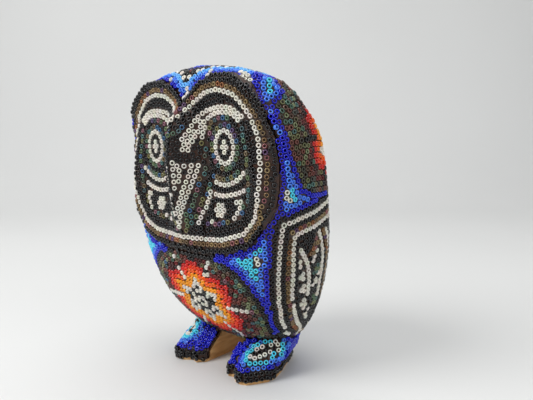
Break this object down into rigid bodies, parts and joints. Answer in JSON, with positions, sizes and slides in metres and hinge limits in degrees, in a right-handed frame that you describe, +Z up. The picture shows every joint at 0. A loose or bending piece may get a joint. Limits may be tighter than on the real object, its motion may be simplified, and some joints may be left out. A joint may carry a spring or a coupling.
{
  "type": "beaded owl figure",
  "caption": "Small standing owl carved in wood, coated in wax and covered with glass seed beads in flower, wing and face patterns.",
  "frame": {"origin": "on the ground under the middle of the owl's bounding box", "axes": "+Z up, -Y the way the owl faces, +X its left"},
  "size_m": [0.0956, 0.072, 0.1293],
  "materials": {
    "wood": "bare carved wood, sanded, unvarnished",
    "beeswax": "dark beeswax mixed with resin, dull",
    "face_border_glass": "gloss, small round glass beads with their holes facing out, black and bronze",
    "face_outline_glass": "gloss, small round glass beads with their holes facing out, white",
    "beak_glass": "gloss, small round glass beads with their holes facing out, white with a black wedge",
    "face_disc_glass": "gloss, small round glass beads with their holes facing out, black with white and lustred rows",
    "eye_glass": "gloss, small round glass beads with their holes facing out, white and black rings",
    "side_glass": "gloss, small round glass beads with their holes facing out, cobalt to turquoise",
    "wing_border_glass": "gloss, small round glass beads with their holes facing out, black, white and bronze rows",
    "wing_feather_glass": "gloss, small round glass beads with their holes facing out, black with white and bronze leaves",
    "back_flower_glass": "gloss, small round glass beads with their holes facing out, red and orange flower on dark olive",
    "foot_glass": "gloss, small round glass beads with their holes facing out, black edge, blue rows, white diamond",
    "crown_glass": "gloss, small round glass beads with their holes facing out, blue and white",
    "spine_glass": "gloss, small round glass beads with their holes facing out, blue and white",
    "tail_glass": "gloss, small round glass beads with their holes facing out, blue and black",
    "chest_flower_glass": "gloss, small round glass beads with their holes facing out, red, orange and yellow flower",
    "chest_border_glass": "gloss, small round glass beads with their holes facing out, black"
  },
  "bodies": {
    "root": {"wood_carving": "wood", "wax_coat": "beeswax", "left_foot_wax": "beeswax", "right_foot_wax": "beeswax", "face_border_beads": "face_border_glass", "face_outline_beads": "face_outline_glass", "beak_beads": "beak_glass", "left_face_disc_beads": "face_disc_glass", "left_eye_beads": "eye_glass", "left_side_beads": "side_glass", "left_wing_border_beads": "wing_border_glass", "left_wing_feather_beads": "wing_feather_glass", "left_back_flower_beads": "back_flower_glass", "left_foot_beads": "foot_glass", "right_face_disc_beads": "face_disc_glass", "right_eye_beads": "eye_glass", "right_side_beads": "side_glass", "right_wing_border_beads": "wing_border_glass", "right_wing_feather_beads": "wing_feather_glass", "right_back_flower_beads": "back_flower_glass", "right_foot_beads": "foot_glass", "crown_beads": "crown_glass", "spine_beads": "spine_glass", "tail_beads": "tail_glass", "chest_flower_beads": "chest_flower_glass", "chest_border_beads": "chest_border_glass"}
  },
  "joints": []
}
